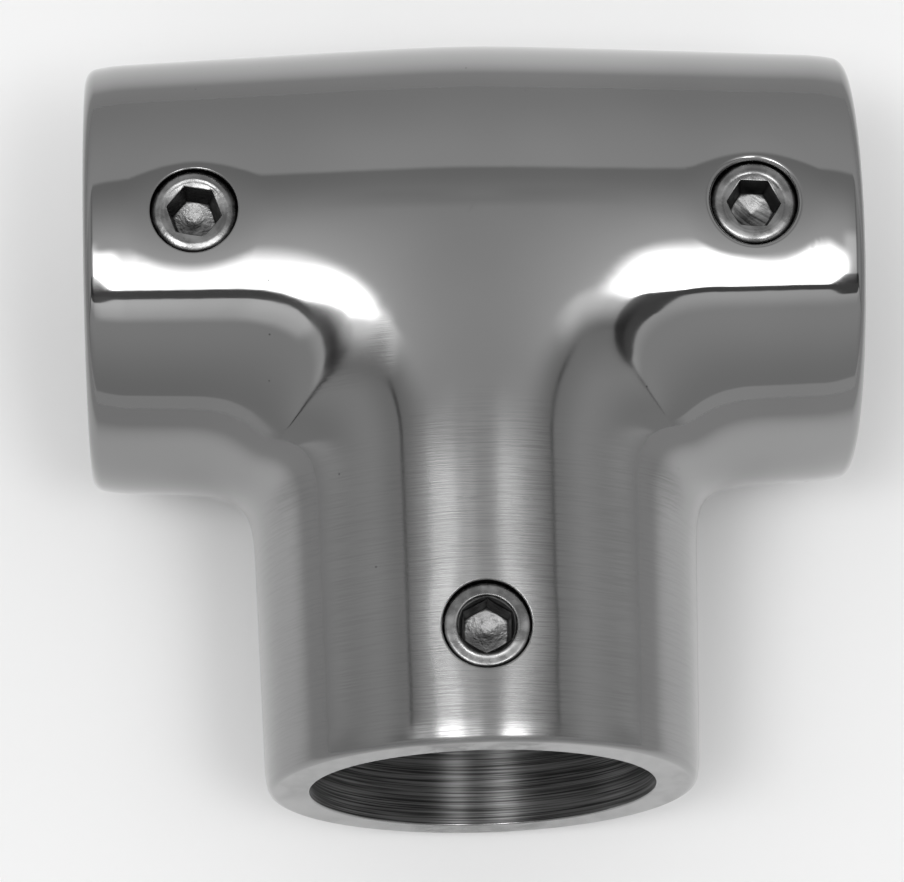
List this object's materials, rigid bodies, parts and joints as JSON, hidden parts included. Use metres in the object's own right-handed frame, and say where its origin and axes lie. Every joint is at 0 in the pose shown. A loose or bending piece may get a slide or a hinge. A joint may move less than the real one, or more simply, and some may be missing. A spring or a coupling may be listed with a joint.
{
  "type": "tube clamp tee fitting",
  "caption": "Polished cast tee that joins rail tubes at a right angle: a straight through bore, a stem bore, and socket set screws that lock each tube.",
  "frame": {"origin": "where the axis of the run's bore crosses the axis of the stem's bore", "axes": "+X along the run, -Y along the stem towards its mouth, +Z towards the side that the set screws look out of"},
  "size_m": [0.0576, 0.0576, 0.0348],
  "materials": {
    "polished_steel": "cast stainless steel, buffed to a near mirror",
    "screw_steel": "turned stainless steel, worn bright at its edges"
  },
  "bodies": {
    "tee": {"tee_body": "polished_steel"},
    "left_run_screw": {"run_set_screw_left": "screw_steel"},
    "right_run_screw": {"run_set_screw_right": "screw_steel"},
    "stem_screw": {"stem_set_screw": "screw_steel"}
  },
  "joints": [
    {"name": "run_left_screw_travel", "type": "slide", "parent": "tee", "child": "left_run_screw", "axis": [0, 0, 1], "range_m": [-0.001, 0.0025]},
    {"name": "run_right_screw_travel", "type": "slide", "parent": "tee", "child": "right_run_screw", "axis": [0, 0, 1], "range_m": [-0.001, 0.0025]},
    {"name": "stem_screw_travel", "type": "slide", "parent": "tee", "child": "stem_screw", "axis": [0, 0, 1], "range_m": [-0.001, 0.0025]}
  ]
}
